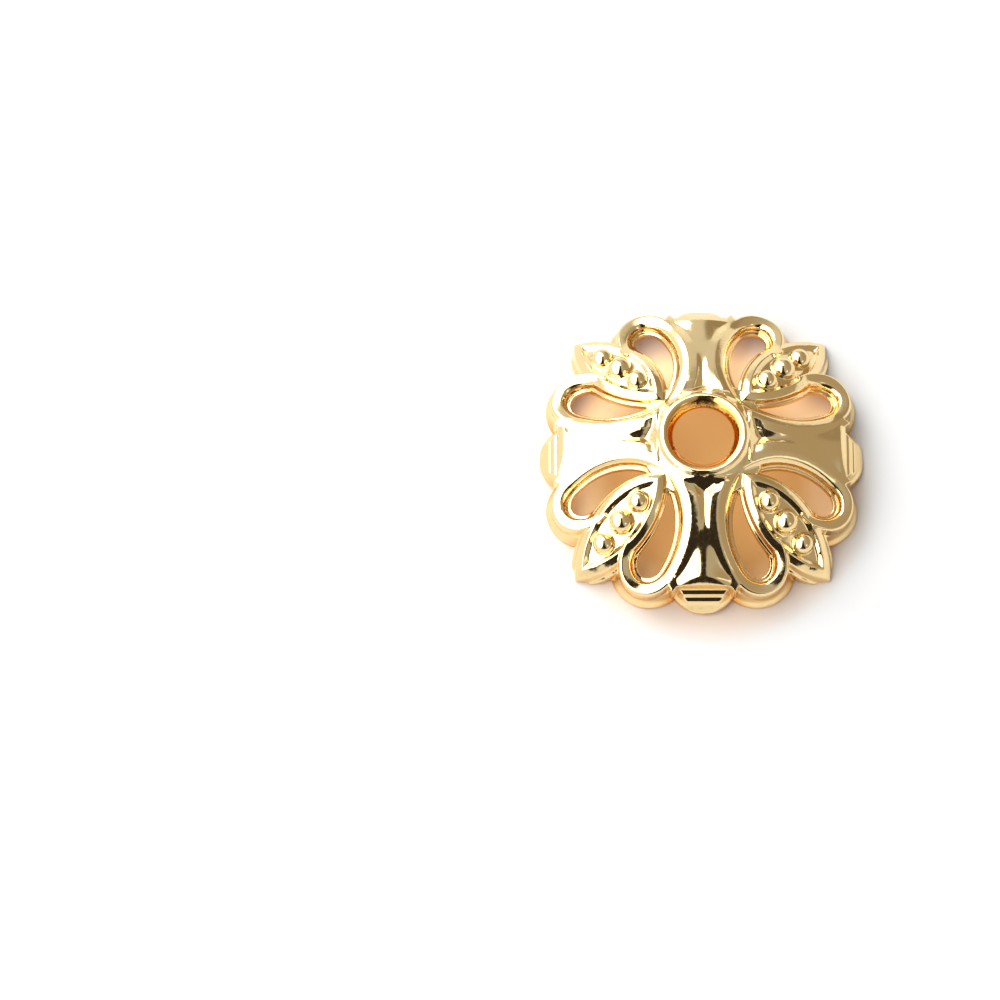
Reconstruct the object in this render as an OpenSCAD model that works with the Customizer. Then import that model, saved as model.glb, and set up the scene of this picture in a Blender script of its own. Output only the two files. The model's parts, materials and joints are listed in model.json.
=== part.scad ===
// Pierced bead cap with four beaded leaves, eight petal loops and a scalloped skirt.
// All sizes are in millimetres. The cap stands dome up on z = 0 with its bore on the Z axis.
// A fan web lies on each of +X, +Y, -X and -Y, and a leaf on each diagonal between them.

/* [Dome] */
// Width over two opposite tongues
cap_w = 12.0; // [11.6:0.1:13]
// Height from the foot of the skirt to the top of the hub ring
cap_h = 3.05; // [2.8:0.05:3.6]
// How far past the tongues the dome's sphere would meet the floor
dome_over = 0.35; // [0.25:0.05:0.6]
// Thickness of the shell, measured square to the dome
wall = 0.5; // [0.4:0.05:0.6]

/* [Hub] */
// Diameter of the hole for the thread or pin
bore_d = 2.25; // [1.8:0.05:2.5]
// Thickness of the round ring about the hole
ring_t = 0.42; // [0.34:0.02:0.5]
// Gap from the hole's wall to the inside of the ring
lip_w = 0.13; // [0.1:0.01:0.2]
// Depth of the flare that leads into the hole
lip_d = 0.3; // [0.2:0.05:0.35]
// Depth of the groove outside the ring
groove_d = 0.16; // [0.1:0.02:0.2]

/* [Leaves] */
// Distance from the hub ring to the inner tip of a leaf
leaf_gap = 0.36; // [0.3:0.02:0.5]
// How far a leaf's outer tip reaches past the tongues
leaf_over = 0.2; // [0.1:0.05:0.3]
// Width of a leaf at its middle
leaf_w = 2.07; // [1.9:0.05:2.2]
// Width of the raised rim round a leaf
rim_w = 0.31; // [0.24:0.01:0.36]
// Height of the rim above the web
rim_h = 0.2; // [0.16:0.02:0.26]
// Height of the leaf's sunk field above the web
field_h = 0.02; // [0:0.01:0.08]

/* [Leaf beads] */
// Diameter of the inner bead
bead_in_d = 0.78; // [0.6:0.02:0.84]
// Diameter of the middle bead
bead_mid_d = 0.92; // [0.7:0.02:0.96]
// Diameter of the outer bead
bead_out_d = 0.82; // [0.6:0.02:0.86]
// Gap between two beads
bead_gap = 0.04; // [0.02:0.01:0.08]
// How far the middle bead lies outside the leaf's middle
bead_shift = 0.13; // [0:0.02:0.2]

/* [Petal loops] */
// Width of the fan web at its neck, between two loops
neck_w = 0.85; // [0.7:0.05:1]
// Radius of a loop's long side
loop_side_r = 3.15; // [2.9:0.05:3.4]
// Radius of a loop's round end
loop_end_r = 1.1; // [1:0.02:1.16]
// How far a loop's end stays inside the tongues
loop_in = 0.14; // [0.05:0.03:0.2]
// Angle between the middle of a fan and a loop's end
loop_angle = 24.4; // [23.5:0.1:25.5]
// Width of the raised wire of a loop
wire_w = 0.45; // [0.38:0.01:0.5]
// Height of the wire above the web
wire_h = 0.15; // [0.1:0.01:0.2]
// Width of the web left between a leaf and its opening
ledge_w = 0.15; // [0.1:0.01:0.2]

/* [Fans] */
// Length of a tongue, from the shelf to its tip
tongue_l = 0.78; // [0.7:0.02:0.86]
// Radius of a tongue's outline
tongue_r = 1.3; // [1.2:0.02:1.36]
// Length of the valley that runs out from the hub
valley_l = 2.7; // [2.4:0.1:3]
// Radius of the valley's round bottom
valley_r = 0.65; // [0.5:0.05:0.8]
// Depth of the valley beside the hub
valley_d = 0.15; // [0.1:0.01:0.2]

/* [Skirt] */
// Height of the skirt below the loops
skirt_h = 0.6; // [0.5:0.02:0.7]
// Height of the skirt below the leaf tips
tip_skirt_h = 0.35; // [0.28:0.01:0.4]
// How far the skirt spreads at its foot
flare = 0.33; // [0.26:0.01:0.38]
// Width of the step between a loop and the skirt
step_w = 0.04; // [0.03:0.01:0.06]
// Width of the foot at a tongue
foot_w = 0.35; // [0.3:0.01:0.4]
// Thickness of the shell at the side of a loop or leaf tip
side_w = 0.2; // [0.16:0.01:0.24]

/* [Hidden] */
$fn = 96;

// The pattern repeats with each leaf
leaves = 4;
turn = 360 / leaves;
leaf_a = turn / 2;
// Angle between two points of a drawn arc
arc_step = 6;
// Number of sides that a small ball is drawn with
ball_fn = 32;

cap_r = cap_w / 2;
bore_r = bore_d / 2;

// The ring's crest is the top of the cap, and its middle lies in the dome's surface
ring_r = bore_r + lip_w + ring_t / 2;
ring_z = cap_h - ring_t / 2;
hub_r = ring_r + ring_t / 2;
// The flare's mouth cuts into the ring's inner side, halfway to its crest
mouth_r = ring_r - ring_t / 4;

// The dome's sphere passes through the ring's middle line and the foot circle
foot_r = cap_r + dome_over;
dome_z = (ring_z * ring_z + ring_r * ring_r - foot_r * foot_r) / (2 * ring_z);
dome_r = norm([foot_r, dome_z]);

// The shelf is the straight outer edge of a fan, and the web ends just past it
shelf_r = cap_r - tongue_l;
web_r = shelf_r + step_w * 2;

// A leaf is the overlap of two equal circles, set apart across its long line
leaf_in = hub_r + leaf_gap;
leaf_out = cap_r + leaf_over;
leaf_mid = (leaf_in + leaf_out) / 2;
leaf_half = (leaf_out - leaf_in) / 2;
leaf_r = (leaf_half * leaf_half + leaf_w * leaf_w / 4) / leaf_w;
leaf_off = leaf_r - leaf_w / 2;

// A loop is a long arc beside the fan that runs smoothly into its round end
end_dist = cap_r - loop_in - loop_end_r;
end_c = end_dist * [cos(loop_angle), sin(loop_angle)];
side_y = neck_w / 2 + loop_side_r;
side_c = [
    end_c.x - sqrt(pow(loop_side_r - loop_end_r, 2) - pow(side_y - end_c.y, 2)),
    side_y
];
join_a = atan2(end_c.y - side_c.y, end_c.x - side_c.x);
// The arcs start just past the leaf's middle line and stop inside the leaf
start_past = 1;
side_off = side_c.y * cos(leaf_a) - side_c.x * sin(leaf_a);
start_a = leaf_a - 90 - acos(side_off / loop_side_r) - start_past;
stop_a = leaf_a + 90;

// A tongue's cone ends just under the shelf, inside the edge of the web
tongue_top = level_z(shelf_r, 0) - step_w * 3;
tongue_top_r = tongue_r - tongue_l + step_w;

// The valley's bottom is a straight line, from below the hub's edge to the dome's surface
valley_in = [hub_r, level_z(hub_r, 0) - valley_d];
valley_out = [hub_r + valley_l, level_z(hub_r + valley_l, 0)];
valley_a = atan2(valley_in.y - valley_out.y, valley_out.x - valley_in.x);

// Height of the dome's surface, raised by h, at distance r from the axis
function level_z(r, h) = dome_z + sqrt(pow(dome_r + h, 2) - r * r);

// Points along an arc about c, from angle a0 to a1
function arc(c, r, a0, a1) =
    let (n = ceil(abs(a1 - a0) / arc_step))
    [for (i = [0:n]) let (a = a0 + (a1 - a0) * i / n) c + r * [cos(a), sin(a)]];

// Outline of a loop, drawn in by the given amount
function loop_points(inset) = concat(
    arc(side_c, loop_side_r - inset, start_a, join_a),
    arc(end_c, loop_end_r - inset, join_a, stop_a)
);

// Copies about the axis, one for each leaf
module around() {
    for (i = [0:leaves - 1])
        rotate(i * turn)
            children();
}

// Copies of a shape on both sides of each fan
module both_sides() {
    around() {
        children();
        mirror([0, 1, 0])
            children();
    }
}

// Moves a shape from the X axis onto the diagonals
module on_diagonals() {
    rotate(leaf_a)
        around()
            children();
}

// The solid below the dome's surface raised by h
module level(h) {
    translate([0, 0, dome_z])
        sphere(r = dome_r + h);
}

// A flat outline raised from the floor to the dome's surface plus h
module relief(h) {
    intersection() {
        linear_extrude(cap_h)
            children();
        level(h);
    }
}

// Flat outline of a leaf on the X axis, grown by the given amount
module leaf_shape(grow) {
    intersection() {
        translate([leaf_mid, leaf_off])
            circle(r = leaf_r + grow);
        translate([leaf_mid, -leaf_off])
            circle(r = leaf_r + grow);
    }
}

// Dome webs, before the loops and leaves are raised on them
module fan_webs() {
    color("#cdae6a")
    difference() {
        relief(0)
            circle(r = web_r);
        hub_groove();
        around()
            fan_valley();
    }
}

// Cones of the four tongues, drawn in by the given amount and begun below the floor
module tongue_cones(inset, below) {
    spread = below * (tongue_r - tongue_top_r) / tongue_top;
    around()
        translate([cap_r - tongue_r, 0, -below])
            cylinder(r1 = tongue_r + spread - inset, r2 = tongue_top_r - inset, h = tongue_top + below);
}

// Scalloped tongues, which fall from the shelf at the end of each fan
module tongues() {
    color("#c9a55c")
    tongue_cones(0, 0);
}

// Groove outside the hub ring
module hub_groove() {
    translate([0, 0, level_z(hub_r + groove_d, 0)])
        rotate_extrude()
            translate([hub_r + groove_d, 0])
                circle(r = groove_d);
}

// Round valley down the middle of a fan, on the X axis
module fan_valley() {
    translate([valley_in.x, 0, valley_in.y])
        rotate([0, valley_a, 0])
            translate([0, 0, valley_r])
                rotate([0, 90, 0])
                    cylinder(r = valley_r, h = valley_l + tongue_l);
}

// Raised round ring about the hole
module hub_ring() {
    color("#e6d3a0")
    translate([0, 0, ring_z])
        rotate_extrude()
            translate([ring_r, 0])
                circle(d = ring_t, $fn = ball_fn);
}

// Raised wires of the eight loops
module petal_loops() {
    color("#dcc288")
    relief(wire_h)
        both_sides()
            difference() {
                polygon(loop_points(0));
                polygon(loop_points(wire_w + step_w));
                rotate(leaf_a)
                    leaf_shape(-rim_w / 2);
            }
}

// The four leaves, before their fields are sunk
module leaf_blanks() {
    color("#dcc288")
    relief(rim_h)
        on_diagonals()
            leaf_shape(0);
}

// Cuts that sink the fields of the leaves
module leaf_fields() {
    difference() {
        linear_extrude(cap_h)
            on_diagonals()
                leaf_shape(-rim_w);
        level(field_h);
    }
}

// One bead of diameter d on the X axis, half sunk in the leaf's field
module leaf_bead(r, d) {
    translate([r, 0, level_z(r, field_h)])
        sphere(d = d, $fn = ball_fn);
}

// The row of three beads on each leaf
module leaf_beads() {
    mid = leaf_mid + bead_shift;
    color("#e6d3a0")
    on_diagonals() {
        leaf_bead(mid - bead_gap - (bead_mid_d + bead_in_d) / 2, bead_in_d);
        leaf_bead(mid, bead_mid_d);
        leaf_bead(mid + bead_gap + (bead_mid_d + bead_out_d) / 2, bead_out_d);
    }
}

// Flared foot under each loop and each leaf tip
module skirt() {
    color("#c9a55c") {
        both_sides()
            translate(end_c)
                cylinder(r1 = loop_end_r + flare, r2 = loop_end_r + step_w, h = skirt_h);
        on_diagonals()
            tip_skirt();
    }
}

// Flared foot of one leaf tip, on the X axis, with its corner trimmed round
module tip_skirt() {
    intersection() {
        translate([leaf_mid, leaf_off])
            cylinder(r1 = leaf_r + flare, r2 = leaf_r + step_w, h = tip_skirt_h);
        translate([leaf_mid, -leaf_off])
            cylinder(r1 = leaf_r + flare, r2 = leaf_r + step_w, h = tip_skirt_h);
        cylinder(r = leaf_out + flare, h = tip_skirt_h);
    }
}

// Outline of the hollow without its tongues, which follows the lobes
module hollow_shape() {
    circle(r = web_r - foot_w);
    both_sides()
        translate(end_c)
            circle(r = loop_end_r - side_w);
    on_diagonals()
        leaf_shape(-side_w);
}

// Hollow for the bead's side of the cap
module hollow() {
    intersection() {
        union() {
            translate([0, 0, -wall])
                linear_extrude(cap_h + wall)
                    hollow_shape();
            tongue_cones(foot_w, wall);
        }
        level(-wall);
    }
}

// The eight crescents pierced between the leaves and the loops
module openings() {
    translate([0, 0, -wall])
        linear_extrude(cap_h + wall * 2)
            both_sides()
                difference() {
                    polygon(loop_points(wire_w));
                    rotate(leaf_a)
                        leaf_shape(ledge_w);
                }
}

// Straight hole and the flare that leads into it
module bore() {
    translate([0, 0, -wall])
        cylinder(d = bore_d, h = cap_h + wall * 2);
    translate([0, 0, cap_h - lip_d])
        cylinder(r1 = bore_r, r2 = mouth_r, h = lip_d);
}

// The whole cap, cast in one piece
module bead_cap() {
    difference() {
        union() {
            difference() {
                union() {
                    fan_webs();
                    tongues();
                    petal_loops();
                    leaf_blanks();
                    skirt();
                    hub_ring();
                }
                leaf_fields();
            }
            leaf_beads();
        }
        hollow();
        openings();
        bore();
    }
}

bead_cap();
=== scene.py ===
"""Pierced bead cap, cast in one piece and plated in pale gold, lying dome up on a white floor.

The cap is modelled in millimetres from the same sizes as its solid: each form is a profile that
is spun along its own arcs, laid on the dome, and copied about the axis. The forms are then
fused and their edges softened, as a cast and tumbled surface is, and brought to metres.
"""
import json
import logging
import math
from dataclasses import dataclass
from enum import Enum
from typing import Sequence

import bpy
from mathutils import Matrix, Vector

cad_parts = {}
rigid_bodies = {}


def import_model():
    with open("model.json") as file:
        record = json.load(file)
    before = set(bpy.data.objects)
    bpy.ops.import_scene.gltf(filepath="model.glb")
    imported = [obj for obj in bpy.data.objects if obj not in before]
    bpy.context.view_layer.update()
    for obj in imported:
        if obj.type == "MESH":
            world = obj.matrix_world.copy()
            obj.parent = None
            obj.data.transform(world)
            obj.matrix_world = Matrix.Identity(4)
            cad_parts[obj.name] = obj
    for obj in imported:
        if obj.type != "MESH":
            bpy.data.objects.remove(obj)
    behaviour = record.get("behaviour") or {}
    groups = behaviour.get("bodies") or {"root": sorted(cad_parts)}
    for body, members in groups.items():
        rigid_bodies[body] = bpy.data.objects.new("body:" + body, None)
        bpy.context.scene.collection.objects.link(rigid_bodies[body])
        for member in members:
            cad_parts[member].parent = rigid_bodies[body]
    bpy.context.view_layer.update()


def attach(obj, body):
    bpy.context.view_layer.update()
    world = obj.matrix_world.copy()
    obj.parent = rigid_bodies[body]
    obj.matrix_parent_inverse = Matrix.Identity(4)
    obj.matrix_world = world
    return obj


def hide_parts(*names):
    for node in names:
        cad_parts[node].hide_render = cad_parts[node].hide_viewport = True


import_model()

LOG = logging.getLogger("bead_cap")

Point = tuple[float, float]
Colour = tuple[float, float, float, float]
Piece = bpy.types.Object
Tree = bpy.types.NodeTree
Socket = bpy.types.NodeSocket

MM = 0.001
# Sides of the round bodies that are turned or stand as posts
ROUND_SIDES = 96
# Most of a profile's side that the rounding of one corner may take
ROUNDING_SHARE = 0.49
# Distance within which corners are merged, in millimetres
MERGE = 0.0005


class Axis(Enum):
    """Directions that forms are cut or mirrored across."""

    Y = Vector((0.0, 1.0, 0.0))
    Z = Vector((0.0, 0.0, 1.0))


class Boolean(Enum):
    """Ways in which two closed pieces are combined."""

    CUT = "DIFFERENCE"
    UNITE = "UNION"
    OVERLAP = "INTERSECT"


def eased(share: float) -> float:
    """Gives a share from 0 to 1 a soft start and a soft stop."""
    share = min(1.0, max(0.0, share))
    return share * share * (3.0 - 2.0 * share)


@dataclass(frozen=True)
class LeafArcs:
    """The two equal arcs that bound a leaf on the X axis."""

    inner: float
    outer: float
    width: float

    @property
    def mid(self) -> float:
        """Distance from the axis to the leaf's middle."""
        return (self.inner + self.outer) / 2

    @property
    def radius(self) -> float:
        """Radius of both arcs."""
        half = (self.outer - self.inner) / 2
        return (half**2 + self.width**2 / 4) / self.width

    @property
    def off(self) -> float:
        """Distance of each arc's centre from the leaf's middle line."""
        return self.radius - self.width / 2


@dataclass(frozen=True)
class CapSizes:
    """Sizes that the forms of the cap share, in millimetres and degrees."""

    cap_w: float = 12.0  # over two opposite tongues
    cap_h: float = 3.05  # up to the hub ring's crest
    dome_over: float = 0.35  # how far past the tongues the dome's sphere would meet the floor
    wall: float = 0.5
    bore_d: float = 2.25
    ring_t: float = 0.42
    lip_w: float = 0.13  # from the hole to the ring
    leaf_gap: float = 0.36  # from the ring to a leaf's inner tip
    leaf_over: float = 0.2  # how far a leaf's outer tip reaches past the tongues
    leaf_w: float = 2.07
    neck_w: float = 0.85  # where a fan is narrowest, between its loops
    loop_side_r: float = 3.15
    loop_end_r: float = 1.1
    loop_in: float = 0.14  # how far a loop's end stays inside the tongues
    loop_angle: float = 24.4  # from a fan's middle line to a loop's round end
    wire_w: float = 0.45
    tongue_l: float = 0.78
    tongue_r: float = 1.3
    web_over: float = 0.08  # how far a web reaches past its straight outer edge
    flare: float = 0.37
    foot_w: float = 0.35  # the foot's width at a tongue
    side_w: float = 0.2  # the foot's width at a loop or a leaf
    dip_d: float = 0.14  # the dome's dip at the hub
    dip_l: float = 1.25
    collar_r: float = 2.3
    collar_fall: float = 0.12  # slope at which webs sink under the collar
    lift_h: float = 0.15  # the dome's lift at the rim
    lift_from: float = 4.8
    push_w: float = 0.14  # how far a loop's end is drawn outwards
    push_from: float = 5.0
    tip_rise: float = 0.4  # slope at which a leaf's tip rises past the loops
    leaves: int = 4

    @property
    def turn(self) -> float:
        """Angle between two leaves, in radians."""
        return math.tau / self.leaves

    @property
    def cap_r(self) -> float:
        """Radius over the tongues."""
        return self.cap_w / 2

    @property
    def bore_r(self) -> float:
        """Radius of the hole."""
        return self.bore_d / 2

    @property
    def ring_r(self) -> float:
        """Radius of the hub ring's middle line."""
        return self.bore_r + self.lip_w + self.ring_t / 2

    @property
    def hub_r(self) -> float:
        """Outer radius of the hub ring."""
        return self.ring_r + self.ring_t / 2

    @property
    def dome_z(self) -> float:
        """Height of the middle of the dome's sphere."""
        ring_z = self.cap_h - self.ring_t / 2
        foot_r = self.cap_r + self.dome_over
        return (ring_z**2 + self.ring_r**2 - foot_r**2) / (2 * ring_z)

    @property
    def dome_r(self) -> float:
        """Radius of the dome's sphere."""
        return math.hypot(self.cap_r + self.dome_over, self.dome_z)

    @property
    def shelf_r(self) -> float:
        """Distance from the axis to a fan's straight outer edge."""
        return self.cap_r - self.tongue_l

    @property
    def web_r(self) -> float:
        """Radius at which the webs end beside a tongue."""
        return self.shelf_r + self.web_over

    @property
    def leaf_in(self) -> float:
        """Distance from the axis to a leaf's inner tip."""
        return self.hub_r + self.leaf_gap

    @property
    def leaf_foot(self) -> LeafArcs:
        """Arcs of a leaf's foot, which the hollow follows."""
        return LeafArcs(self.leaf_in, self.cap_r + self.leaf_over, self.leaf_w)

    @property
    def end_c(self) -> Point:
        """Centre of a loop's round end, beside the fan on +X."""
        dist = self.cap_r - self.loop_in - self.loop_end_r
        angle = math.radians(self.loop_angle)
        return dist * math.cos(angle), dist * math.sin(angle)

    @property
    def side_c(self) -> Point:
        """Centre of a loop's long side, beside the fan on +X."""
        end_x, end_y = self.end_c
        side_y = self.neck_w / 2 + self.loop_side_r
        reach = (self.loop_side_r - self.loop_end_r) ** 2 - (side_y - end_y) ** 2
        return end_x - math.sqrt(reach), side_y

    @property
    def join_a(self) -> float:
        """Direction in which a loop's long side meets its round end, in radians."""
        return math.atan2(self.end_c[1] - self.side_c[1], self.end_c[0] - self.side_c[0])

    def level_z(self, r: float, h: float = 0.0) -> float:
        """Gives the height of the dome's surface, raised square to it.

        The dome dips a little towards the hub, so that the ring stands clear of it. It is
        lifted a little at the rim.

        Args:
            r: Distance from the axis.
            h: How far the surface is raised.

        Returns:
            The height above the floor.
        """
        near = max(0.0, 1.0 - max(0.0, r - self.hub_r) / self.dip_l)
        lift = self.lift_h * eased((r - self.lift_from) / (self.cap_r - self.lift_from))
        lift += self.tip_rise * max(0.0, r - self.cap_r + self.loop_in)
        sphere_z = self.dome_z + math.sqrt((self.dome_r + h) ** 2 - r**2)
        return sphere_z - self.dip_d * near**2 + lift


def select_only(*pieces: Piece) -> None:
    """Selects these pieces alone and makes the first one active."""
    bpy.ops.object.select_all(action="DESELECT")
    for piece in pieces:
        piece.select_set(True)
    bpy.context.view_layer.objects.active = pieces[0]


def profile(name: str, points: Sequence[Sequence[float]]) -> Piece:
    """Adds a filled circle and moves its corners to a profile's corners.

    Args:
        name: Name of the new piece.
        points: The profile's corners in order, in one plane.

    Returns:
        The flat piece.
    """
    bpy.ops.mesh.primitive_circle_add(vertices=len(points), radius=1.0, fill_type="NGON")
    piece = bpy.context.object
    piece.name = name
    for corner, point in zip(piece.data.vertices, points):
        corner.co = point
    return piece


def edit_all(piece: Piece) -> None:
    """Goes into edit mode on a piece with all of it selected."""
    select_only(piece)
    bpy.ops.object.mode_set(mode="EDIT")
    bpy.ops.mesh.select_all(action="SELECT")


def end_edit() -> None:
    """Merges doubles, turns all faces outwards and leaves edit mode."""
    bpy.ops.mesh.select_all(action="SELECT")
    bpy.ops.mesh.remove_doubles(threshold=MERGE)
    bpy.ops.mesh.normals_make_consistent(inside=False)
    bpy.ops.object.mode_set(mode="OBJECT")


def turned(name: str, outline: Sequence[Point], centre: Point) -> Piece:
    """Builds a round body from a disk that is extruded and resized from ring to ring.

    Args:
        name: Name of the new piece.
        outline: Radius and height of each ring, from the bottom up.
        centre: Where the body's axis stands.

    Returns:
        The closed round piece.
    """
    radius, height = outline[0]
    bpy.ops.mesh.primitive_circle_add(
        vertices=ROUND_SIDES, radius=radius, fill_type="NGON", enter_editmode=True
    )
    bpy.ops.transform.translate(value=(*centre, height))
    for next_radius, next_height in outline[1:]:
        bpy.ops.mesh.extrude_region_move(
            TRANSFORM_OT_translate={"value": (0, 0, next_height - height)}
        )
        share = next_radius / radius
        bpy.ops.transform.resize(value=(share, share, 1.0), center_override=(*centre, next_height))
        radius, height = next_radius, next_height
    end_edit()
    piece = bpy.context.object
    piece.name = name
    return piece


def ball(radius: float, place: Sequence[float], segments: int, rings: int) -> Piece:
    """Adds a ball and moves it to its place.

    Args:
        radius: The ball's radius.
        place: The ball's centre.
        segments: Number of faces round the ball.
        rings: Number of faces from pole to pole.

    Returns:
        The ball.
    """
    bpy.ops.mesh.primitive_uv_sphere_add(
        segments=segments, ring_count=rings, radius=radius, enter_editmode=True
    )
    bpy.ops.transform.translate(value=place)
    end_edit()
    return bpy.context.object


def spin(centre: Point, angle: float, chord: float, radius: float) -> None:
    """Spins the selected face about an upright axis, anticlockwise for a positive angle.

    Args:
        centre: Where the axis stands.
        angle: Angle of the whole spin, in radians.
        chord: Greatest length of a step at the given radius.
        radius: Radius at which the steps are measured.
    """
    steps = math.ceil(abs(angle) * radius / chord)
    bpy.ops.mesh.spin(
        steps=steps, angle=-angle, center=(centre[0], centre[1], 0.0), axis=Axis.Z.value
    )


def cut_below(axis: Axis) -> None:
    """Cuts off what the piece in edit mode has on an axis's negative side, and fills the cut."""
    bpy.ops.mesh.select_all(action="SELECT")
    bpy.ops.mesh.bisect(plane_co=(0, 0, 0), plane_no=axis.value, use_fill=True, clear_inner=True)


def moved(piece: Piece, matrix: Matrix) -> Piece:
    """Moves a piece's mesh by a matrix and keeps its faces outwards.

    Args:
        piece: The piece whose corners are moved.
        matrix: The move.

    Returns:
        The same piece.
    """
    piece.data.transform(matrix)
    if matrix.determinant() < 0:
        piece.data.flip_normals()
    return piece


def copied(piece: Piece, matrix: Matrix) -> Piece:
    """Copies a piece with a mesh of its own and moves the copy by a matrix.

    Args:
        piece: The piece that is copied.
        matrix: The copy's move.

    Returns:
        The copy.
    """
    select_only(piece)
    bpy.ops.object.duplicate(linked=False)
    return moved(bpy.context.object, matrix)


def apply_modifier(piece: Piece, kind: str, **settings: object) -> None:
    """Adds a modifier with its settings and applies it.

    Args:
        piece: The piece that gets the modifier.
        kind: Blender's name for the kind of modifier.
        **settings: The modifier's settings.
    """
    select_only(piece)
    modifier = piece.modifiers.new(kind.title(), kind)
    for name, value in settings.items():
        setattr(modifier, name, value)
    bpy.ops.object.modifier_apply(modifier=modifier.name)


def combine(piece: Piece, way: Boolean, other: Piece) -> None:
    """Changes a closed piece by another one, which stays as it is."""
    apply_modifier(piece, "BOOLEAN", operation=way.value, solver="EXACT", object=other)


def joined(name: str, pieces: Sequence[Piece]) -> Piece:
    """Joins pieces into one object.

    Args:
        name: Name of the joined piece.
        pieces: The pieces, of which the first one stays.

    Returns:
        The joined piece.
    """
    select_only(*pieces)
    bpy.ops.object.join()
    pieces[0].name = name
    return pieces[0]


def remove(*pieces: Piece) -> None:
    """Deletes helper pieces."""
    select_only(*pieces)
    bpy.ops.object.delete()


def rounded(corners: Sequence[Point], radii: Sequence[float], steps: int = 5) -> list[Point]:
    """Rounds the corners of a closed profile.

    Args:
        corners: The profile's corners in order.
        radii: The radius of each corner, 0 for a sharp one.
        steps: Number of steps along each rounding.

    Returns:
        The corners of the rounded profile.
    """
    points: list[Point] = []
    count = len(corners)
    for i, (corner, radius) in enumerate(zip(corners, radii)):
        here = Vector(corner)
        if radius <= 0:
            points.append(tuple(here))
            continue
        back = Vector(corners[i - 1]) - here
        ahead = Vector(corners[(i + 1) % count]) - here
        half = back.angle(ahead) / 2
        room = ROUNDING_SHARE * min(back.length, ahead.length)
        run = min(radius / math.tan(half), room)
        start, stop = here + back.normalized() * run, here + ahead.normalized() * run
        for k in range(steps + 1):
            t = k / steps
            points.append(tuple(start.lerp(here, t).lerp(here.lerp(stop, t), t)))
    return points


@dataclass
class Form:
    """One kind of form of the cap, modelled once beside the +X axis.

    The cap's hollow is cut from the forms that reach down into it.
    """

    sizes: CapSizes
    hollow: Piece | None = None
    step: float = 0.07

    def laid_on_dome(self, piece: Piece, push: float = 0.0, fall: float = 0.0) -> Piece:
        """Bends a flat relief onto the dome, so that its heights stand on the dome's surface.

        Args:
            piece: A piece whose heights are measured from the flat.
            push: How far its outer end is drawn outwards at the rim.
            fall: Slope at which it falls away under the hub's collar.

        Returns:
            The same piece, on the dome.
        """
        s = self.sizes
        for corner in piece.data.vertices:
            r = math.hypot(corner.co.x, corner.co.y)
            out = 1.0 + push * eased((r - s.push_from) / (s.cap_r - s.loop_in - s.push_from)) / r
            z = s.level_z(r, corner.co.z) - fall * max(0.0, s.collar_r - r)
            corner.co = (corner.co.x * out, corner.co.y * out, z)
        return piece

    def around(self, piece: Piece, start: float = 0.0, both: bool = False) -> list[Piece]:
        """Copies a form about the axis, once for each leaf.

        Args:
            piece: The form on the +X axis.
            start: Angle that the first copy is turned by, in radians.
            both: Whether each copy has a mirrored twin on the other side of its axis.

        Returns:
            All the copies. The form itself is deleted.
        """
        s = self.sizes
        moves = [Matrix.Rotation(start + i * s.turn, 4, "Z") for i in range(s.leaves)]
        if both:
            flip = Matrix.Scale(-1.0, 4, Axis.Y.value)
            moves += [move @ flip for move in moves]
        copies = [copied(piece, move) for move in moves]
        remove(piece)
        return copies


@dataclass
class HubRing(Form):
    """Round ring about the hole, with the flare inside it and the collar outside it."""

    bottom_z: float = 2.4
    neck_z: tuple[float, float] = (2.66, 2.74)
    flare_z: float = 2.99
    flare_w: float = 0.2
    crest_r: tuple[float, float] = (1.45, 1.57)
    crest_over: float = 0.01
    side: Point = (1.69, 2.9)
    foot: Point = (2.05, 2.56)
    skirt_r: float = 2.35
    under: float = 0.14
    rounding: tuple[float, ...] = (0, 0.04, 0.04, 0.03, 0.06, 0.1, 0.05, 0.1, 0, 0)

    def build(self) -> list[Piece]:
        """Spins the ring's profile once round the hole.

        Returns:
            The ring, alone in a list.
        """
        s = self.sizes
        corners = [
            (s.bore_r + self.under, self.bottom_z),
            *((s.bore_r, z) for z in self.neck_z),
            (s.bore_r + self.flare_w, self.flare_z),
            *((r, s.cap_h + self.crest_over) for r in self.crest_r),
            self.side,
            self.foot,
            (self.skirt_r, s.level_z(self.skirt_r) - self.under),
            (self.skirt_r, self.bottom_z - self.under),
        ]
        section = rounded(corners, self.rounding)
        piece = profile("hub_ring", [(r, 0.0, z) for r, z in section])
        edit_all(piece)
        spin((0.0, 0.0), math.tau, self.step, s.hub_r)
        end_edit()
        return [piece]


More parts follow.
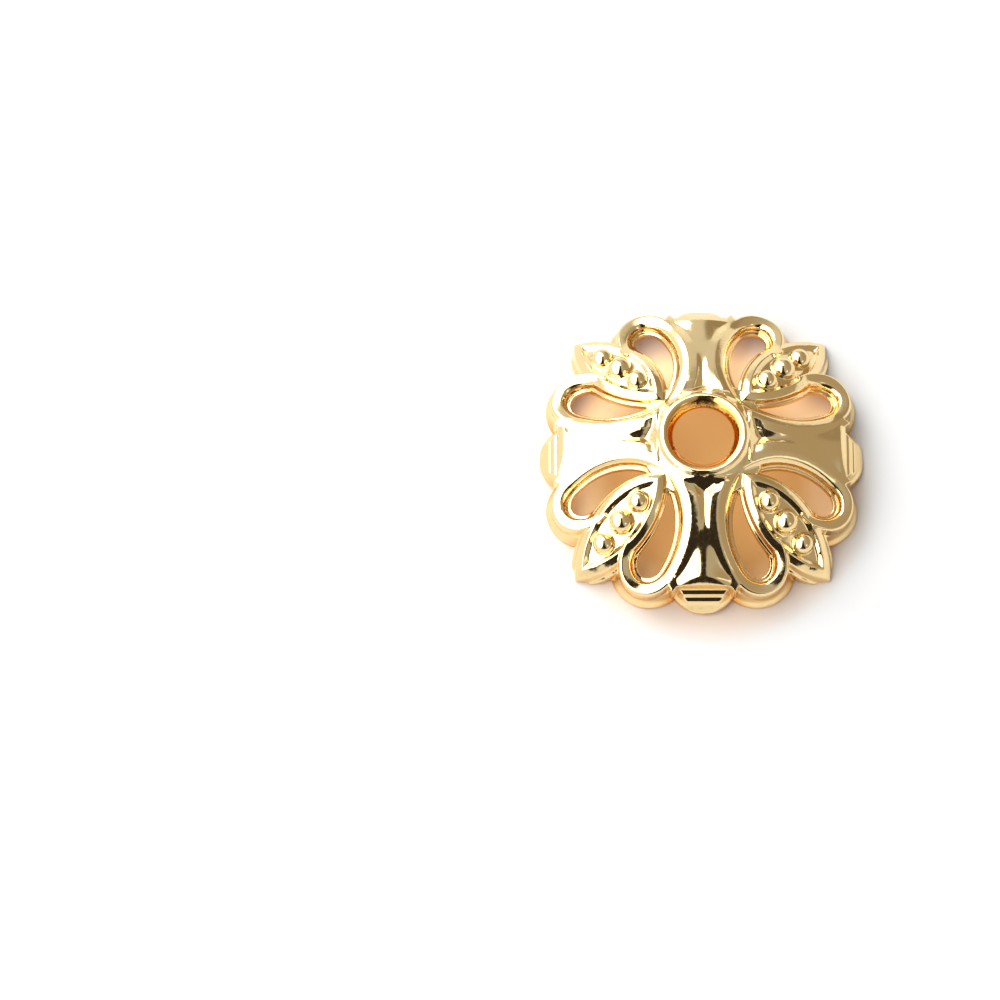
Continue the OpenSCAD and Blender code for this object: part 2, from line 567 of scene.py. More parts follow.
@dataclass
class FanWebs(Form):
    """Webs between the petals: a valley at the hub that turns to a low ridge at the shelf."""

    columns: int = 64
    rows: int = 48
    start_r: float = 1.69
    side_h: float = 0.115
    band_w: float = 0.25
    band_rise: float = 0.1
    wire_fall: float = 0.35
    inner_least: float = 0.08
    valley_d: float = 0.31
    valley_to: float = 3.6
    valley_round: float = 0.05
    ridge_slope: float = 0.3
    ridge_round: float = 0.45
    ridge_cut: float = 0.6  # share of the rounding that lowers the ridge's crest
    ridge_from: float = 3.8
    ridge_full: float = 4.25
    over: float = 0.1
    end_l: float = 0.5
    end_round: float = 1.1
    end_fade: float = 0.55
    end_clear: float = 0.1  # what stays between the web and a round end's far side
    apron_foot: Point = (2.05, 2.56)
    apron_slope: float = 0.95
    apron_r: float = 2.2
    apron_under: float = 0.12  # how far under the crest the apron starts
    top_share: float = 0.8  # share of the wall, from the top, whose corners the apron lifts

    def half_width(self, x: float) -> float:
        """Gives half the width of the web, up to the middle of the wires beside it.

        Args:
            x: Distance from the axis along the fan.

        Returns:
            The half width there.
        """
        s = self.sizes
        mid = s.wire_w / 2
        (side_x, side_y), (end_x, end_y) = s.side_c, s.end_c
        join_x = side_x + (s.loop_side_r - mid) * math.cos(s.join_a)
        if x <= join_x:
            return side_y - math.sqrt((s.loop_side_r - mid) ** 2 - (x - side_x) ** 2)
        run = min(x - end_x, s.loop_end_r - mid - self.end_clear)
        return end_y - math.sqrt((s.loop_end_r - mid) ** 2 - run**2)

    def height(self, x: float, across: float) -> float:
        """Gives the web's height over the dome.

        Args:
            x: Distance from the axis along the fan.
            across: Place across the web, from -1 to 1.

        Returns:
            The height, below zero in the valley.
        """
        s = self.sizes
        half = self.half_width(x)
        outline = half - s.wire_w / 2
        inner = max(self.inner_least, outline - self.band_w)
        aside = abs(across) * half
        dip = max(0.0, 1.0 - math.hypot(aside, self.valley_round) / inner)
        valley = self.valley_d * max(0.0, 1.0 - (x - s.hub_r) / (self.valley_to - s.hub_r))
        past = max(0.0, (x - s.shelf_r - self.over + self.end_l) / self.end_l)
        grown = eased((x - self.ridge_from) / (self.ridge_full - self.ridge_from))
        bend = self.ridge_round + self.end_round * past**2
        drop = (math.hypot(aside, bend) - bend) / (math.hypot(inner, bend) - bend)
        rise = self.ridge_slope * grown * max(0.0, inner - self.ridge_round * self.ridge_cut)
        ridge = rise * max(0.0, 1.0 - drop) * (1.0 - self.end_fade * past**2)
        side = self.band_rise * min(max(0.0, aside - inner), self.band_w)
        side -= self.wire_fall * max(0.0, aside - outline)
        return self.side_h + side + ridge - valley * dip

    def apron(self, x: float, y: float) -> float:
        """Gives the height of the flat slope that runs from the ring down to the web.

        Args:
            x: Distance from the axis along the fan.
            y: Distance from the fan's middle line.

        Returns:
            The height above the floor, which falls away round the hub at the slope's sides.
        """
        foot_x, foot_z = self.apron_foot
        away = max(x - foot_x, math.hypot(x, y) - self.apron_r)
        return foot_z - self.apron_slope * away

    def build(self) -> list[Piece]:
        """Shapes one web from a flat grid, gives it its wall and copies it about the axis.

        Returns:
            The four webs.
        """
        s = self.sizes
        bpy.ops.mesh.primitive_grid_add(
            x_subdivisions=self.columns, y_subdivisions=self.rows, size=2.0
        )
        web = bpy.context.object
        web.name = "fan_web"
        for corner in web.data.vertices:
            along, across = (corner.co.x + 1.0) / 2.0, corner.co.y
            x = self.start_r + along * (s.shelf_r + self.over - self.start_r)
            y = across * self.half_width(x)
            limit = math.sqrt(max(0.0, (s.web_r + self.over) ** 2 - y**2))
            corner.co = (min(x, limit), y, self.height(x, across))
        edit_all(web)
        bpy.ops.mesh.extrude_region_move(TRANSFORM_OT_translate={"value": (0, 0, 0)})
        bpy.ops.object.mode_set(mode="OBJECT")
        for corner in web.data.vertices:
            if corner.select:
                corner.co.z = -s.wall
        edit_all(web)
        end_edit()
        self.laid_on_dome(web, fall=s.collar_fall)
        for corner in web.data.vertices:
            x, y, z = corner.co
            if z > s.level_z(x) - s.wall * self.top_share:
                corner.co.z = max(z, min(self.apron(x, y), s.cap_h - self.apron_under))
        return self.around(web)


@dataclass
class PetalLoops(Form):
    """Raised round wires of the eight loops, with the thin lip that each opening keeps below."""

    wire_h: float = 0.15
    bulge: float = 0.02
    bulge_at: float = 0.6  # share of the wire's height
    crest_at: float = 0.1  # share of the wire's width
    slope_at: Point = (0.72, 0.35)  # shares of the wire's width and height
    inner_z: float = -0.1
    ledge: Point = (0.03, 0.02)
    lip_in: float = 0.18
    lip_z: float = -0.29
    root: float = 0.8
    rounding: tuple[float, ...] = (0, 0.05, 0.12, 0.15, 0.05, 0.04, 0.05, 0)
    band_w: float = 0.26
    band_past: float = 0.25
    band_drops: tuple[float, float, float] = (0.03, 0.01, 0.06)
    early: float = 3.5  # angle by which a loop starts before the leaf's middle line
    end_step: float = 0.7  # share of the step that suits the tighter round end

    def swept(self, name: str, section: Sequence[Point], past: float, fall: float = 0.0) -> Piece:
        """Spins a section along a loop's long side and then about its round end.

        Args:
            name: Name of the piece.
            section: Corners as distance inside the loop's outline, and height.
            past: Angle of the spin about the round end, in radians.
            fall: Slope at which it falls away under the hub's collar.

        Returns:
            The swept piece, laid on the dome.
        """
        s = self.sizes
        leaf_a = s.turn / 2
        side_x, side_y = s.side_c
        off = side_y * math.cos(leaf_a) - side_x * math.sin(leaf_a)
        start = leaf_a - math.pi / 2 - math.acos(off / s.loop_side_r) - math.radians(self.early)
        points = [
            (
                side_x + (s.loop_side_r - inward) * math.cos(start),
                side_y + (s.loop_side_r - inward) * math.sin(start),
                height,
            )
            for inward, height in section
        ]
        piece = profile(name, points)
        edit_all(piece)
        spin(s.side_c, s.join_a - start, self.step, s.loop_side_r)
        spin(s.end_c, past, self.step * self.end_step, s.loop_end_r)
        end_edit()
        return self.laid_on_dome(piece, s.push_w, fall)

    def build(self) -> list[Piece]:
        """Sweeps a loop's wire, and the flat band that joins it to the fan's web.

        Returns:
            The eight wires and their bands.
        """
        s = self.sizes
        w, h = s.wire_w, self.wire_h
        corners = [
            (0.0, -self.root),
            (-self.bulge, h * self.bulge_at),
            (w * self.crest_at, h),
            (w * self.slope_at[0], h * self.slope_at[1]),
            (w, self.inner_z),
            (w + self.ledge[0], self.lip_z + self.ledge[1]),
            (w + self.lip_in, self.lip_z),
            (w + self.lip_in, -self.root),
        ]
        tops = zip((-self.band_w, 0.0, w / 2), self.band_drops)
        band_section = [
            (w / 2, -s.wall),
            (-self.band_w, -s.wall),
            *((inward, h - drop) for inward, drop in tops),
        ]
        stop = s.turn / 2 + math.pi / 2
        wire = self.swept("petal_loop", rounded(corners, self.rounding), stop - s.join_a)
        edit_all(wire)
        cut_below(Axis.Z)
        end_edit()
        combine(wire, Boolean.CUT, self.hollow)
        band = self.swept("wire_band", band_section, self.band_past, s.collar_fall)
        return self.around(wire, both=True) + self.around(band, both=True)


@dataclass
class Leaves(Form):
    """The four leaves: a ridged rim, a sunk field and a thin lip, each half spun on one arc."""

    reach: float = 6.6
    rim_foot: float = 0.02
    rim_in: float = 0.28
    rim_w: float = 0.47
    rim_h: float = 0.13
    field_h: float = 0.0
    field_from: float = 0.1
    field_rise: float = 0.02
    lip_w: float = 0.15
    lip_z: float = -0.24
    ledge: Point = (0.04, 0.03)
    root: float = 0.9
    rounding: tuple[float, ...] = (0, 0.05, 0.04, 0.06, 0.03, 0.03, 0, 0, 0)
    past: float = 0.25
    overlap: float = 0.05
    push_w: float = 0.05

    def half_leaf(self, section: Sequence[Point]) -> Piece:
        """Spins a section along one side of a leaf on the X axis and trims it at the middle.

        Args:
            section: Corners as distance inside the leaf's outline, and height.

        Returns:
            Half of the leaf, on the side of +Y, with its profile's heights.
        """
        arcs = LeafArcs(self.sizes.leaf_in, self.reach, self.sizes.leaf_w)
        reach = math.acos(arcs.off / arcs.radius) + self.past
        start = math.pi / 2 - reach
        points = [
            (
                arcs.mid + (arcs.radius - inward) * math.cos(start),
                -arcs.off + (arcs.radius - inward) * math.sin(start),
                height,
            )
            for inward, height in section
        ]
        half = profile("leaf", points)
        edit_all(half)
        spin((arcs.mid, -arcs.off), 2 * reach, self.step, arcs.radius)
        cut_below(Axis.Y)
        end_edit()
        return half

    def build(self) -> list[Piece]:
        """Models half a leaf, mirrors it and copies it about the axis.

        Returns:
            The eight half leaves.
        """
        s = self.sizes
        middle = s.leaf_w / 2 + self.overlap
        corners = [
            (-self.lip_w, -self.root),
            (-self.lip_w, self.lip_z),
            (-self.ledge[0], self.lip_z + self.ledge[1]),
            (self.rim_foot, 0.0),
            (self.rim_in, self.rim_h),
            (self.rim_w, self.field_h),
            (self.rim_w + self.field_from, self.field_h),
            (middle, self.field_h + self.field_rise),
            (middle, -self.root),
        ]
        half = self.half_leaf(rounded(corners, self.rounding))
        self.laid_on_dome(half, self.push_w)
        edit_all(half)
        cut_below(Axis.Z)
        end_edit()
        combine(half, Boolean.CUT, self.hollow)
        return self.around(half, start=s.turn / 2, both=True)


@dataclass
class LeafBeads(Form):
    """Rows of three balls on the leaves, half sunk in their fields."""

    diameters: tuple[float, float, float] = (0.78, 0.92, 0.82)
    gap: float = 0.03
    middle_r: float = 4.26
    lift: float = 0.02
    segments: int = 40
    rings: int = 20

    def build(self) -> list[Piece]:
        """Models one row of balls and copies it about the axis.

        Returns:
            The four rows.
        """
        s = self.sizes
        inner, middle, outer = self.diameters
        places = (
            (self.middle_r - self.gap - (middle + inner) / 2, inner),
            (self.middle_r, middle),
            (self.middle_r + self.gap + (middle + outer) / 2, outer),
        )
        balls = [
            ball(width / 2, (r, 0.0, s.level_z(r, self.lift)), self.segments, self.rings)
            for r, width in places
        ]
        return self.around(joined("leaf_beads", balls), start=s.turn / 2)


@dataclass
class Tongues(Form):
    """Scalloped tongues, which fall from the fans in two fine steps and a slope to their lip."""

    outline: tuple[Point, ...] = (
        (1.25, 0.0),
        (1.33, 0.18),
        (1.31, 0.3),
        (1.2, 0.44),
        (1.1, 0.7),
        (1.07, 1.15),
    )
    steps: tuple[Point, ...] = (
        (0.02, 1.1),
        (0.12, 0.87),
        (0.24, 0.81),
        (0.36, 0.645),
        (0.44, 0.605),
        (0.6, 0.37),
        (0.81, 0.11),
        (1.1, -0.25),
    )
    rounding: tuple[float, ...] = (0, 0.06, 0.06, 0.1, 0.1, 0)
    step_round: float = 0.03
    round_steps: int = 3
    above: float = 1.6
    cut_half: float = 1.5  # half the length of the steps' cut, in radii of the tongue

    def build(self) -> list[Piece]:
        """Turns the round flared block, cuts its steps and the hollow, and copies it.

        Returns:
            The four tongues.
        """
        s = self.sizes
        outline = rounded(self.outline, self.rounding, self.round_steps)
        tongue = turned("tongue", outline, (s.cap_r - s.tongue_r, 0.0))
        corners = [
            (s.shelf_r, self.above),
            *((s.shelf_r + out, z) for out, z in self.steps),
            (s.shelf_r + self.steps[-1][0], self.above),
        ]
        radii = [0, *(self.step_round for _ in self.steps), 0]
        section = rounded(corners, radii, self.round_steps)
        half = s.tongue_r * self.cut_half
        slopes = profile("slopes", [(x, -half, z) for x, z in section])
        edit_all(slopes)
        bpy.ops.mesh.extrude_region_move(TRANSFORM_OT_translate={"value": (0, 2 * half, 0)})
        end_edit()
        combine(tongue, Boolean.CUT, slopes)
        combine(tongue, Boolean.CUT, self.hollow)
        remove(slopes)
        return self.around(tongue)


@dataclass
class Skirt(Form):
    """Flared foot under each loop."""

    height: float = 0.62
    step_w: float = 0.1
    waist: Point = (0.42, 0.5)  # shares of the flare and of the height
    overlap: float = 0.1
    rounding: tuple[float, ...] = (0, 0.05, 0.5, 0.05, 0)
    reach: float = 92.0

    def build(self) -> list[Piece]:
        """Spins the flared foot of one loop about the loop's round end and copies it.

        Returns:
            The eight feet.
        """
        s = self.sizes
        inner = s.loop_end_r - s.side_w - self.overlap
        corners = [
            (inner, 0.0),
            (s.loop_end_r + s.flare, 0.0),
            (s.loop_end_r + s.flare * self.waist[0], self.height * self.waist[1]),
            (s.loop_end_r + self.step_w, self.height),
            (inner, self.height),
        ]
        start = math.radians(s.loop_angle - self.reach)
        end_x, end_y = s.end_c
        points = [
            (end_x + r * math.cos(start), end_y + r * math.sin(start), z)
            for r, z in rounded(corners, self.rounding)
        ]
        foot = profile("skirt_lobe", points)
        edit_all(foot)
        spin(s.end_c, 2 * math.radians(self.reach), self.step, s.loop_end_r)
        end_edit()
        combine(foot, Boolean.CUT, self.hollow)
        return self.around(foot, both=True)


@dataclass
class Hollow(Form):
    """The underside's hollow, whose outline follows the tongues, lobes and leaf tips."""

    below: float = 0.5
    segments: int = 128
    rings: int = 96

    def post(self, radius: float, centre: Point) -> Piece:
        """Adds an upright round post that reaches from below the floor past the dome.

        Args:
            radius: The post's radius.
            centre: Where it stands.

        Returns:
            The post.
        """
        depth = self.sizes.cap_h + self.below
        bpy.ops.mesh.primitive_cylinder_add(
            vertices=ROUND_SIDES, radius=radius, depth=depth, enter_editmode=True
        )
        bpy.ops.transform.translate(value=(*centre, depth / 2 - self.below))
        end_edit()
        return bpy.context.object

    def build(self) -> Piece:
        """Unites the posts and trims them to the sphere inside the dome.

        Returns:
            The closed shape of the hollow.
        """
        s = self.sizes
        hollow = self.post(s.web_r - s.foot_w, (0.0, 0.0))
        hollow.name = "hollow"
        posts = self.around(self.post(s.tongue_r - s.foot_w, (s.cap_r - s.tongue_r, 0.0)))
        posts += self.around(self.post(s.loop_end_r - s.side_w, s.end_c), both=True)
        arcs = s.leaf_foot
        tip = self.post(arcs.radius - s.side_w, (arcs.mid, arcs.off))
        other = self.post(arcs.radius - s.side_w, (arcs.mid, -arcs.off))
        combine(tip, Boolean.OVERLAP, other)
        posts += self.around(tip, start=s.turn / 2)
        for post in posts:
            combine(hollow, Boolean.UNITE, post)
        dome = ball(s.dome_r - s.wall, (0.0, 0.0, s.dome_z), self.segments, self.rings)
        combine(hollow, Boolean.OVERLAP, dome)
        remove(other, dome, *posts)
        return hollow


@dataclass
class Casting:
    """Fuses the forms into one piece with the soft edges of a cast and tumbled surface."""

    voxel: float = 0.03
    smooth_rounds: int = 5
    smooth_share: float = 0.5
    faces: int = 190_000

    def keep_body(self, cap: Piece) -> None:
        """Keeps the body that holds the topmost corner and deletes specks inside the metal.

        Args:
            cap: The remeshed cap.
        """
        top = max(cap.data.vertices, key=lambda corner: corner.co.z).index
        edit_all(cap)
        bpy.ops.mesh.select_all(action="DESELECT")
        bpy.ops.object.mode_set(mode="OBJECT")
        cap.data.vertices[top].select = True
        bpy.ops.object.mode_set(mode="EDIT")
        bpy.ops.mesh.select_linked()
        bpy.ops.mesh.select_all(action="INVERT")
        bpy.ops.mesh.delete(type="VERT")
        bpy.ops.object.mode_set(mode="OBJECT")

    def build(self, forms: Sequence[Piece]) -> Piece:
        """Remeshes the joined forms, softens them, thins the mesh and brings it to metres.

        Args:
            forms: All the forms, closed and overlapping.

        Returns:
            The finished cap.
        """
        cap = joined("cast_cap", forms)
        apply_modifier(cap, "REMESH", mode="VOXEL", voxel_size=self.voxel)
        self.keep_body(cap)
        apply_modifier(cap, "SMOOTH", factor=self.smooth_share, iterations=self.smooth_rounds)
        triangles = len(cap.data.polygons) * 2
        if triangles > self.faces:
            apply_modifier(cap, "DECIMATE", ratio=self.faces / triangles)
        moved(cap, Matrix.Scale(MM, 4))
        select_only(cap)
        bpy.ops.object.shade_smooth()
        return cap


def linear(hex_colour: str) -> Colour:
    """Turns an sRGB hex colour to the linear values that a shader takes.

    Args:
        hex_colour: Six hex digits after a number sign.

    Returns:
        Red, green, blue and alpha.
    """
    parts = [int(hex_colour[i : i + 2], 16) / 255 for i in (1, 3, 5)]
    light = [p / 12.92 if p <= 0.04045 else ((p + 0.055) / 1.055) ** 2.4 for p in parts]
    return light[0], light[1], light[2], 1.0


def add_node(
    tree: Tree, kind: str, links: dict[str, object] | None = None, **settings: object
) -> bpy.types.Node:
    """Adds a node with its settings, its constant inputs and its links.

    Args:
        tree: The node tree.
        kind: Blender's name for the node.
        links: For each input's name, the output socket or the constant that goes to it.
        **settings: The node's own settings.

    Returns:
        The new node.
    """
    node = tree.nodes.new(kind)
    for name, value in settings.items():
        setattr(node, name, value)
    for name, value in (links or {}).items():
        socket = node.inputs[int(name) if name.isdigit() else name]
        if isinstance(value, Socket):
            tree.links.new(value, socket)
        else:
            socket.default_value = value
    return node


def ramped(
    tree: Tree,
    value: Socket,
    span: tuple[float, float],
    result: tuple[float, float] = (0.0, 1.0),
    soft: bool = False,
) -> Socket:
    """Brings a value from one range to another and holds it at both ends.

    Args:
        tree: The node tree.
        value: The value.
        span: Where the ramp starts and where it ends.
        result: What it gives at its start and at its end.
        soft: Whether the ramp starts and ends softly.

    Returns:
        The ramp's result.
    """
    links = {"Value": value, "From Min": span[0], "From Max": span[1]}
    links |= {"To Min": result[0], "To Max": result[1]}
    kind = "SMOOTHSTEP" if soft else "LINEAR"
    node = add_node(tree, "ShaderNodeMapRange", links, interpolation_type=kind)
    return node.outputs["Result"]


def blended(tree: Tree, share: Socket, first: object, second: object) -> Socket:
    """Blends two colours, of which a share of 0 gives the first and 1 the second."""
    links = {"Factor": share, "6": first, "7": second}
    return add_node(tree, "ShaderNodeMix", links, data_type="RGBA").outputs[2]


def reckoned(tree: Tree, operation: str, *values: object) -> Socket:
    """Works one number out from others."""
    links = {str(i): value for i, value in enumerate(values)}
    return add_node(tree, "ShaderNodeMath", links, operation=operation).outputs["Value"]


def measured(tree: Tree, operation: str, *vectors: object) -> Socket:
    """Works a length, a distance or a dot product out from vectors."""
    links = {str(i): vector for i, vector in enumerate(vectors)}
    return add_node(tree, "ShaderNodeVectorMath", links, operation=operation).outputs["Value"]


def emptied(owner: bpy.types.Material | bpy.types.World) -> Tree:
    """Gives a material or a world an empty node tree."""
    owner.use_nodes = True
    owner.node_tree.nodes.clear()
    return owner.node_tree


def in_metres(span: tuple[float, ...]) -> tuple[float, ...]:
    """Brings lengths from millimetres to metres."""
    return tuple(length * MM for length in span)


@dataclass(frozen=True)
class GoldPlate:
    """Cast metal, tumbled bright and plated in pale gold: a mirror that is slightly wavy.

    The casting gives slows waves, the tumbling rounds them and leaves fine pits, and the thin
    plating keeps both. Faces that lie deep under the dome's sphere, and the hole's wall, get a
    painted deeper orange for the light that bounces between the gold faces.
    """

    pale: str = "#F6DDA8"
    deep: str = "#EFD096"
    # Painted bounce light: deeper orange for the light that bounces between gold faces in the
    # hollows and the hole
    inside: str = "#E6AE5E"
    inside_mm: tuple[float, float] = (0.45, 0.18)  # depth under the dome's sphere
    hole_mm: tuple[float, float] = (1.36, 1.44)
    dome_z_mm: float = -5.301
    dome_r_mm: float = 8.272
    roughness: tuple[float, float] = (0.07, 0.15)
    stain_mm: float = 1.8
    stain_detail: float = 2.0
    wave_mm: float = 0.9
    wave_detail: float = 1.0
    wave_height_mm: float = 0.006
    pit_mm: float = 0.12
    pit_detail: float = 3.0
    pit_height_mm: float = 0.0012
    pit_span: tuple[float, float] = (0.35, 0.7)  # noise over which the roughness grows

    def build(self) -> bpy.types.Material:
        """Builds the plating's nodes.

        Returns:
            The finish.
        """
        material = bpy.data.materials.new("gold_plated_casting")
        tree = emptied(material)
        place = add_node(tree, "ShaderNodeTexCoord").outputs["Object"]

        def noise(size_mm: float, detail: float) -> Socket:
            """Gives a noise whose grains have a real size in millimetres."""
            links = {"Vector": place, "Scale": 1.0 / (size_mm * MM), "Detail": detail}
            return add_node(tree, "ShaderNodeTexNoise", links).outputs["Fac"]

        def bump(height: Socket, depth_mm: float, **under: Socket) -> Socket:
            """Gives the surface's direction with a height of a real size laid on it."""
            links = {"Height": height, "Distance": depth_mm * MM, "Strength": 1.0, **under}
            return add_node(tree, "ShaderNodeBump", links).outputs["Normal"]

        wave = noise(self.wave_mm, self.wave_detail)
        pits = noise(self.pit_mm, self.pit_detail)
        stain = noise(self.stain_mm, self.stain_detail)
        plated = blended(tree, stain, linear(self.pale), linear(self.deep))
        # Painted bounce light: the colour turns to the deeper orange deep under the dome's sphere
        # and on the hole's wall
        reach = measured(tree, "DISTANCE", place, (0.0, 0.0, self.dome_z_mm * MM))
        shell = in_metres(tuple(self.dome_r_mm - depth for depth in self.inside_mm))
        under = ramped(tree, reach, shell, (1.0, 0.0))
        flat = add_node(
            tree, "ShaderNodeVectorMath", {"0": place, "1": (1.0, 1.0, 0.0)}, operation="MULTIPLY"
        )
        aside = measured(tree, "LENGTH", flat.outputs["Vector"])
        hole = ramped(tree, aside, in_metres(self.hole_mm), (1.0, 0.0))
        inner = reckoned(tree, "MAXIMUM", under, hole)
        slow = bump(wave, self.wave_height_mm)
        looks = {
            "Base Color": blended(tree, inner, plated, linear(self.inside)),
            "Metallic": 1.0,
            "Roughness": ramped(tree, pits, self.pit_span, self.roughness),
            "Normal": bump(pits, self.pit_height_mm, Normal=slow),
        }
        shader = add_node(tree, "ShaderNodeBsdfPrincipled", looks)
        add_node(tree, "ShaderNodeOutputMaterial", {"Surface": shader.outputs["BSDF"]})
        return material


@dataclass(frozen=True)
class WhiteBoard:
    """Matt white board that the cap lies on. Under the cap the light that the gold throws on it is
    painted in warm tones, darkest under the hub, and a ring of painted shade lies near the cap's
    edge.
    """

    colour: str = "#CDCDCD"
    # Painted bounce light: warm tone of the light off the gold on the board under the cap
    warm: str = "#F1D7AA"
    # Painted bounce light and shade: deeper, darker tone on the board seen through the hub
    hub: str = "#AE8752"
    hub_mm: tuple[float, float] = (3.2, 5.3)
    # Painted shade: a dim pinkish ring on the board near the cap's edge
    rim: str = "#D1C0B3"
    rim_mm: tuple[float, float] = (5.3, 5.8)
    white_mm: tuple[float, float] = (5.1, 6.5)
    centre_mm: Point = (0.15, -1.0)
    roughness: float = 0.9

    def build(self) -> bpy.types.Material:
        """Builds the board's nodes.

        Returns:
            The finish.
        """
        material = bpy.data.materials.new("matt_white_board")
        tree = emptied(material)
        place = add_node(tree, "ShaderNodeTexCoord").outputs["Object"]
        # The colour runs from the painted hub tone through the painted warm bounce and the painted
        # shade ring to plain white
        colour: object = linear(self.hub)
        for tone, span, centre in (
            (self.warm, self.hub_mm, self.centre_mm),
            (self.rim, self.rim_mm, (0.0, 0.0)),
            (self.colour, self.white_mm, self.centre_mm),
        ):
            reach = measured(tree, "DISTANCE", place, (*in_metres(centre), 0.0))
            away = ramped(tree, reach, in_metres(span), soft=True)
            colour = blended(tree, away, colour, linear(tone))
        looks = {"Base Color": colour, "Roughness": self.roughness, "Specular IOR Level": 0.0}
        shader = add_node(tree, "ShaderNodeBsdfPrincipled", looks)
        add_node(tree, "ShaderNodeOutputMaterial", {"Surface": shader.outputs["BSDF"]})
        return material


def towards(azimuth: float, elevation: float) -> Vector:
    """Gives a direction from compass angles, with azimuth 0 on -Y and 90 on +X.

    Args:
        azimuth: Angle about the upright axis, in degrees.
        elevation: Angle above the floor, in degrees.

    Returns:
        The unit vector.
    """
    turn, rise = math.radians(azimuth), math.radians(elevation)
    flat = math.cos(rise)
    return Vector((math.sin(turn) * flat, -math.cos(turn) * flat, math.sin(rise)))


def toned(tint: str, light: float) -> Colour:
    """Gives the colour of a light of one tint and one strength."""
    red, green, blue, _ = linear(tint)
    return red * light, green * light, blue * light, 1.0


def placed(name: str, thing: bpy.types.ID, place: Vector, way: Vector) -> Piece:
    """Adds an object for a light or a camera, and turns it to face what it is there for.

    Args:
        name: Name of the new object.
        thing: The light or the camera.
        place: Where it stands.
        way: Direction from what it faces to its place.

    Returns:
        The new object.
    """
    holder = bpy.data.objects.new(name, thing)
    bpy.context.collection.objects.link(holder)
    holder.location = place
    holder.rotation_euler = way.to_track_quat("Z", "Y").to_euler()
    return holder


@dataclass(frozen=True)
class Glow:
    """A soft patch of the studio's walls, lighter or darker than the rest.

    It is full up to its inner angle and ends at its outer one, both from its middle in degrees.
    """

    azimuth: float
    elevation: float
    inner: float
    outer: float
    light: float
    tint: str = "#FFFFFF"


@dataclass(frozen=True)
class Slot:
    """The studio's dark opening for the camera: a wedge from the floor's front to overhead.

    Its sizes are parts of the unit vector that points at it.
    """

    low_middle: float = 0.04
    top_middle: float = -0.03
    low_half: float = 0.55
    top_half: float = 0.17
    edge: float = 0.06
    back: tuple[float, float] = (0.2, 0.3)
    light: float = 0.03
    tint: str = "#FFE6D2"
    foot: tuple[float, float] = (0.13, 0.17)
    foot_light: float = 1.0


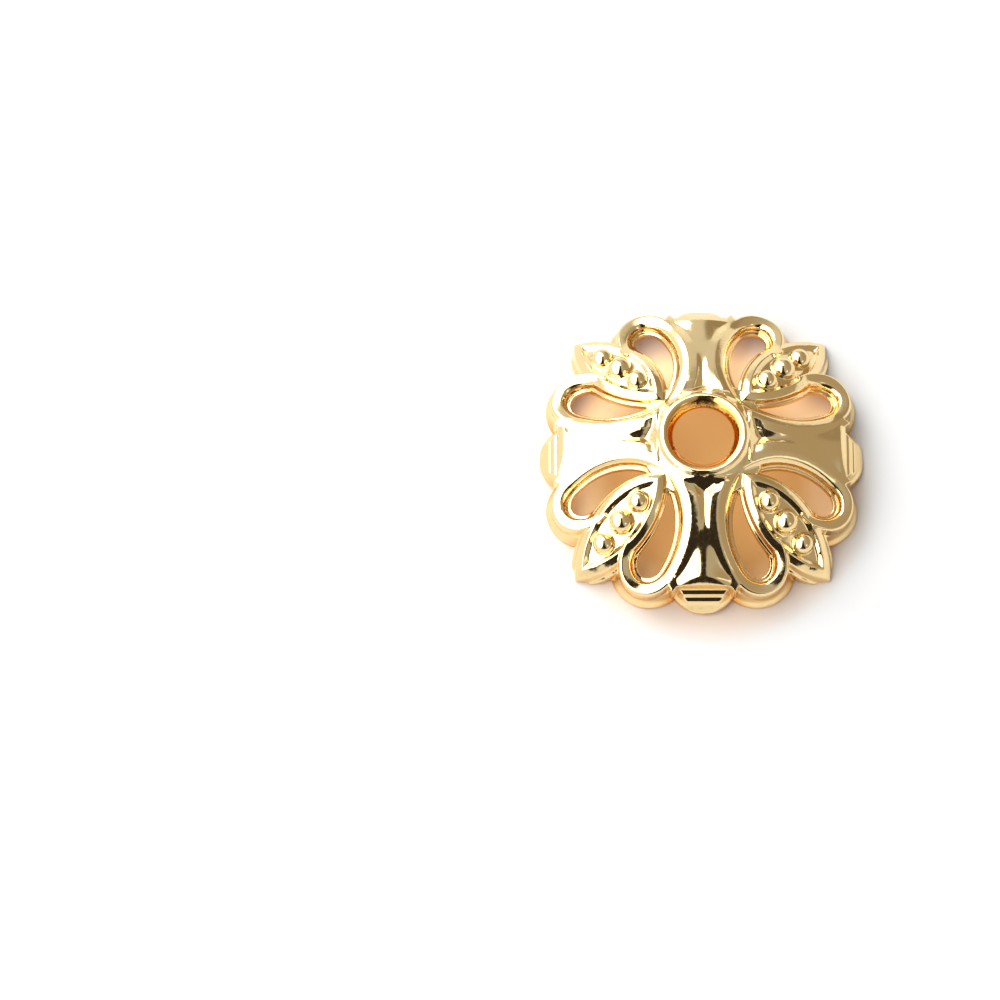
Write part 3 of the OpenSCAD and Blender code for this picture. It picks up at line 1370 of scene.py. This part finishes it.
@dataclass
class Studio:
    """White floor, soft surroundings, one soft key light and the camera."""

    tint: str = "#FFFFFF"
    walls: float = 0.5
    glows: tuple[Glow, ...] = (
        Glow(azimuth=-95.0, elevation=36.0, inner=56.0, outer=64.0, light=3.2),
        Glow(azimuth=48.0, elevation=36.0, inner=4.0, outer=10.0, light=1.6),
        Glow(azimuth=-172.0, elevation=18.0, inner=8.0, outer=28.0, light=0.75),
        Glow(azimuth=105.0, elevation=28.0, inner=22.0, outer=50.0, light=0.45, tint="#FFEFD6"),
        Glow(azimuth=148.0, elevation=14.0, inner=9.0, outer=24.0, light=0.36, tint="#FFEBCD"),
    )
    slot: Slot = Slot()
    key_azimuth: float = -138.0
    key_elevation: float = 30.0
    key_distance: float = 0.3
    key_size: float = 0.2
    key_power: float = 0.78
    bounce_z: float = 0.85
    bounce_r: float = 4.6
    bounce_power: float = 0.00021
    floor_size: float = 4.0
    camera_elevation: float = 69.0
    camera_lens: float = 200.0
    sensor_w: float = 36.0
    clip_near: float = 0.1  # share of the camera's distance
    clip_far: float = 100.0
    frame_width_mm: float = 37.04
    aim_mm: Point = (-7.463, -1.469)

    def build_floor(self) -> None:
        """Lays the white board under the cap."""
        bpy.ops.mesh.primitive_plane_add(size=self.floor_size)
        floor = bpy.context.object
        floor.name = "floor"
        floor.data.materials.append(WhiteBoard().build())

    def build_walls(self) -> None:
        """Gives the surroundings their even light and their lighter and darker patches."""
        world = bpy.data.worlds.new("studio_walls")
        bpy.context.scene.world = world
        tree = emptied(world)
        way = add_node(tree, "ShaderNodeTexCoord").outputs["Generated"]
        light: object = toned(self.tint, self.walls)
        for glow in self.glows:
            facing = measured(tree, "DOT_PRODUCT", way, towards(glow.azimuth, glow.elevation))
            span = (math.cos(math.radians(glow.outer)), math.cos(math.radians(glow.inner)))
            share = ramped(tree, facing, span, soft=True)
            light = blended(tree, share, light, toned(glow.tint, glow.light))
        slot = self.slot
        x, y, z = add_node(tree, "ShaderNodeSeparateXYZ", {"Vector": way}).outputs
        half = ramped(tree, z, (0.0, 1.0), (slot.low_half, slot.top_half))
        middle = ramped(tree, z, (0.0, 1.0), (slot.low_middle, slot.top_middle))
        aside = reckoned(tree, "ABSOLUTE", reckoned(tree, "SUBTRACT", x, middle))
        inside = reckoned(tree, "SUBTRACT", half, aside)
        beside = ramped(tree, inside, (0.0, slot.edge), soft=True)
        ahead = ramped(tree, y, slot.back[::-1], soft=True)
        dark = reckoned(tree, "MULTIPLY", beside, ahead)
        light = blended(tree, dark, light, toned(slot.tint, slot.light))
        low = ramped(tree, z, slot.foot[::-1], soft=True)
        light = blended(tree, low, light, toned(self.tint, slot.foot_light))
        back = add_node(tree, "ShaderNodeBackground", {"Color": light, "Strength": 1.0})
        add_node(tree, "ShaderNodeOutputWorld", {"Surface": back.outputs["Background"]})

    def build_key(self) -> None:
        """Sets the soft key light that gives the cap its shadow."""
        lamp = bpy.data.lights.new("key_light", "AREA")
        lamp.shape = "SQUARE"
        lamp.size = self.key_size
        lamp.energy = self.key_power
        way = towards(self.key_azimuth, self.key_elevation)
        placed("key_light", lamp, way * self.key_distance, way)

    def build_bounce(self) -> None:
        """Sets a soft light in the hollow for the light that the gold throws on the board."""
        lamp = bpy.data.lights.new("bounce_light", "AREA")
        lamp.shape = "DISK"
        lamp.size = 2 * self.bounce_r * MM
        lamp.energy = self.bounce_power
        way = Axis.Z.value
        placed("bounce_light", lamp, way * self.bounce_z * MM, way).visible_camera = False

    def build_camera(self) -> None:
        """Sets the camera at the photograph's angle and framing."""
        lens = bpy.data.cameras.new("camera")
        lens.lens = self.camera_lens
        lens.sensor_width = self.sensor_w
        distance = self.camera_lens * self.frame_width_mm / self.sensor_w * MM
        lens.clip_start = distance * self.clip_near
        lens.clip_end = self.clip_far
        way = towards(0.0, self.camera_elevation)
        aim = Vector((*in_metres(self.aim_mm), 0.0))
        bpy.context.scene.camera = placed("camera", lens, aim + way * distance, way)

    def build(self) -> None:
        """Builds all of the studio."""
        self.build_floor()
        self.build_walls()
        self.build_key()
        self.build_bounce()
        self.build_camera()
        bpy.context.scene.view_settings.view_transform = "Standard"


def main() -> None:
    """Builds the cap and the studio around it."""
    logging.basicConfig(level=logging.INFO, format="%(name)s: %(message)s")
    sizes = CapSizes()
    hollow = Hollow(sizes).build()
    forms: list[Piece] = []
    for kind in (HubRing, FanWebs, PetalLoops, Leaves, LeafBeads, Tongues, Skirt):
        made = kind(sizes, hollow).build()
        LOG.info("%s: %d forms", kind.__name__, len(made))
        forms += made
    remove(hollow)
    cap = Casting().build(forms)
    cap.data.materials.clear()
    cap.data.materials.append(GoldPlate().build())
    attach(cap, "root")
    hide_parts("bead_cap")
    LOG.info("cap: %d faces", len(cap.data.polygons))
    Studio().build()


if __name__ == "__main__":
    main()
